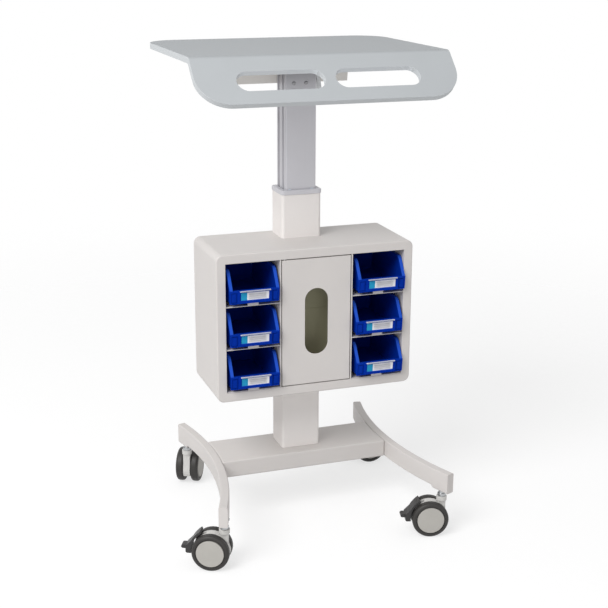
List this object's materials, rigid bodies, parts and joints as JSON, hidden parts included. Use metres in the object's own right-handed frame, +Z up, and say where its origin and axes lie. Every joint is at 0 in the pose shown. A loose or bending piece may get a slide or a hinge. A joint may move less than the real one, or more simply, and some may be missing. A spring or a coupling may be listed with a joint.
{
  "type": "medical laptop cart",
  "caption": "Wheeled medical laptop cart: bowed caster base, lifting column, worktop bent down at its front with handle slots, and a cabinet with pull-out blue bins and a hinged door.",
  "frame": {"origin": "middle of the bottom of the part's box, on the floor", "axes": "+Z up, -Y out of the front, +X to the right as seen from the front"},
  "size_m": [0.5872, 0.5094, 0.9882],
  "materials": {
    "white_powder_coat": "satin powder coat",
    "grey_worktop": "fine matte moulding",
    "satin_aluminium": "satin anodised",
    "grey_plastic": "smooth matte",
    "bracket_coat": "satin powder coat",
    "dark_steel": "plain",
    "bright_zinc": "bright zinc",
    "blue_plastic": "smooth moulding",
    "tyre": "dull, with a light grey cap",
    "fork_plastic": "smooth moulding",
    "pedal_plastic": "smooth moulding",
    "magnet_black": "plain"
  },
  "bodies": {
    "base": {"cross_beam": "white_powder_coat", "column_bolt": "bright_zinc", "left_leg": "white_powder_coat", "right_leg": "white_powder_coat", "outer_column": "white_powder_coat", "column_collar": "grey_plastic", "gas_spring_cylinder": "dark_steel", "cabinet_shell": "white_powder_coat", "cabinet_back": "white_powder_coat", "cabinet_screw_lower": "bright_zinc", "cabinet_screw_upper": "bright_zinc", "left_partition": "white_powder_coat", "right_partition": "white_powder_coat", "compartment_liner": "white_powder_coat", "door_hinge_rod": "bright_zinc", "door_catch": "magnet_black", "left_shelf_bottom": "white_powder_coat", "left_shelf_middle": "white_powder_coat", "left_shelf_top": "white_powder_coat", "right_shelf_bottom": "white_powder_coat", "right_shelf_middle": "white_powder_coat", "right_shelf_top": "white_powder_coat", "front_left_stem": "bright_zinc", "front_right_stem": "bright_zinc", "back_left_stem": "bright_zinc", "back_right_stem": "bright_zinc"},
    "lift_head": {"inner_column": "satin_aluminium", "lower_glide": "grey_plastic", "column_plug": "satin_aluminium", "gas_spring_rod": "dark_steel", "worktop_bracket": "bracket_coat", "worktop": "grey_worktop", "lever_pivot_pin": "bright_zinc"},
    "lever": {"release_lever": "dark_steel"},
    "pin": {"release_pin": "bright_zinc"},
    "door": {"door": "white_powder_coat"},
    "left_bin_bottom": {"left_bin_bottom": "blue_plastic"},
    "left_bin_middle": {"left_bin_middle": "blue_plastic"},
    "left_bin_top": {"left_bin_top": "blue_plastic"},
    "right_bin_bottom": {"right_bin_bottom": "blue_plastic"},
    "right_bin_middle": {"right_bin_middle": "blue_plastic"},
    "right_bin_top": {"right_bin_top": "blue_plastic"},
    "front_left_caster": {"front_left_fork": "fork_plastic", "front_left_axle": "bright_zinc"},
    "front_left_wheel_a": {"front_left_wheel_a": "tyre"},
    "front_left_wheel_b": {"front_left_wheel_b": "tyre"},
    "front_left_pedal": {"front_left_pedal": "pedal_plastic"},
    "front_right_caster": {"front_right_fork": "fork_plastic", "front_right_axle": "bright_zinc"},
    "front_right_wheel_a": {"front_right_wheel_a": "tyre"},
    "front_right_wheel_b": {"front_right_wheel_b": "tyre"},
    "front_right_pedal": {"front_right_pedal": "pedal_plastic"},
    "back_left_caster": {"back_left_fork": "fork_plastic", "back_left_axle": "bright_zinc"},
    "back_left_wheel_a": {"back_left_wheel_a": "tyre"},
    "back_left_wheel_b": {"back_left_wheel_b": "tyre"},
    "back_right_caster": {"back_right_fork": "fork_plastic", "back_right_axle": "bright_zinc"},
    "back_right_wheel_a": {"back_right_wheel_a": "tyre"},
    "back_right_wheel_b": {"back_right_wheel_b": "tyre"}
  },
  "joints": [
    {"name": "lift", "type": "slide", "parent": "base", "child": "lift_head", "axis": [0, 0, 1], "range_m": [-0.18, 0.12]},
    {"name": "release_lever_pivot", "type": "hinge", "parent": "lift_head", "child": "lever", "pos_m": [0.06222, 0.02419, 0.9399], "axis": [0, -1, 0], "range_deg": [0, 10], "stiffness_Nm_per_rad": 0.5},
    {"name": "release_pin_slide", "type": "slide", "parent": "lift_head", "child": "pin", "axis": [0, 0, -1], "range_m": [0, 0.0072]},
    {"name": "door_hinge", "type": "hinge", "parent": "base", "child": "door", "pos_m": [-0.04453, -0.09911, 0.3182], "axis": [0, 0, -1], "range_deg": [0, 90]},
    {"name": "left_bin_bottom_slide", "type": "slide", "parent": "base", "child": "left_bin_bottom", "axis": [0, -1, 0], "range_m": [0, 0.16]},
    {"name": "left_bin_middle_slide", "type": "slide", "parent": "base", "child": "left_bin_middle", "axis": [0, -1, 0], "range_m": [0, 0.16]},
    {"name": "left_bin_top_slide", "type": "slide", "parent": "base", "child": "left_bin_top", "axis": [0, -1, 0], "range_m": [0, 0.16]},
    {"name": "right_bin_bottom_slide", "type": "slide", "parent": "base", "child": "right_bin_bottom", "axis": [0, -1, 0], "range_m": [0, 0.16]},
    {"name": "right_bin_middle_slide", "type": "slide", "parent": "base", "child": "right_bin_middle", "axis": [0, -1, 0], "range_m": [0, 0.16]},
    {"name": "right_bin_top_slide", "type": "slide", "parent": "base", "child": "right_bin_top", "axis": [0, -1, 0], "range_m": [0, 0.16]},
    {"name": "front_left_swivel", "type": "hinge", "parent": "base", "child": "front_left_caster", "pos_m": [-0.21263, -0.22831, 0.096], "axis": [0, 0, 1], "continuous": true},
    {"name": "front_left_wheel_a_spin", "type": "hinge", "parent": "front_left_caster", "child": "front_left_wheel_a", "pos_m": [-0.23491, -0.21696, 0.038], "axis": [0.454, 0.891, 0], "continuous": true},
    {"name": "front_left_wheel_b_spin", "type": "hinge", "parent": "front_left_caster", "child": "front_left_wheel_b", "pos_m": [-0.23491, -0.21696, 0.038], "axis": [0.454, 0.891, 0], "continuous": true},
    {"name": "front_left_pedal_pivot", "type": "hinge", "parent": "front_left_caster", "child": "front_left_pedal", "pos_m": [-0.2544, -0.20703, 0.06066], "axis": [0.454, 0.891, 0], "range_deg": [0, 8]},
    {"name": "front_right_swivel", "type": "hinge", "parent": "base", "child": "front_right_caster", "pos_m": [0.25708, -0.22831, 0.096], "axis": [0, 0, 1], "continuous": true},
    {"name": "front_right_wheel_a_spin", "type": "hinge", "parent": "front_right_caster", "child": "front_right_wheel_a", "pos_m": [0.23293, -0.22184, 0.038], "axis": [0.2588, 0.9659, 0], "continuous": true},
    {"name": "front_right_wheel_b_spin", "type": "hinge", "parent": "front_right_caster", "child": "front_right_wheel_b", "pos_m": [0.23293, -0.22184, 0.038], "axis": [0.2588, 0.9659, 0], "continuous": true},
    {"name": "front_right_pedal_pivot", "type": "hinge", "parent": "front_right_caster", "child": "front_right_pedal", "pos_m": [0.21179, -0.21618, 0.06066], "axis": [0.2588, 0.9659, 0], "range_deg": [0, 8]},
    {"name": "back_left_swivel", "type": "hinge", "parent": "base", "child": "back_left_caster", "pos_m": [-0.18612, 0.17569, 0.096], "axis": [0, 0, 1], "continuous": true},
    {"name": "back_left_wheel_a_spin", "type": "hinge", "parent": "back_left_caster", "child": "back_left_wheel_a", "pos_m": [-0.17438, 0.19776, 0.038], "axis": [0.8829, -0.4695, 0], "continuous": true},
    {"name": "back_left_wheel_b_spin", "type": "hinge", "parent": "back_left_caster", "child": "back_left_wheel_b", "pos_m": [-0.17438, 0.19776, 0.038], "axis": [0.8829, -0.4695, 0], "continuous": true},
    {"name": "back_right_swivel", "type": "hinge", "parent": "base", "child": "back_right_caster", "pos_m": [0.23056, 0.17569, 0.096], "axis": [0, 0, 1], "continuous": true},
    {"name": "back_right_wheel_a_spin", "type": "hinge", "parent": "back_right_caster", "child": "back_right_wheel_a", "pos_m": [0.25556, 0.17569, 0.038], "axis": [0, -1, 0], "continuous": true},
    {"name": "back_right_wheel_b_spin", "type": "hinge", "parent": "back_right_caster", "child": "back_right_wheel_b", "pos_m": [0.25556, 0.17569, 0.038], "axis": [0, -1, 0], "continuous": true}
  ],
  "couplings": [
    {"joint": "release_pin_slide", "follows": "release_lever_pivot", "m_per_rad": 0.041}
  ]
}
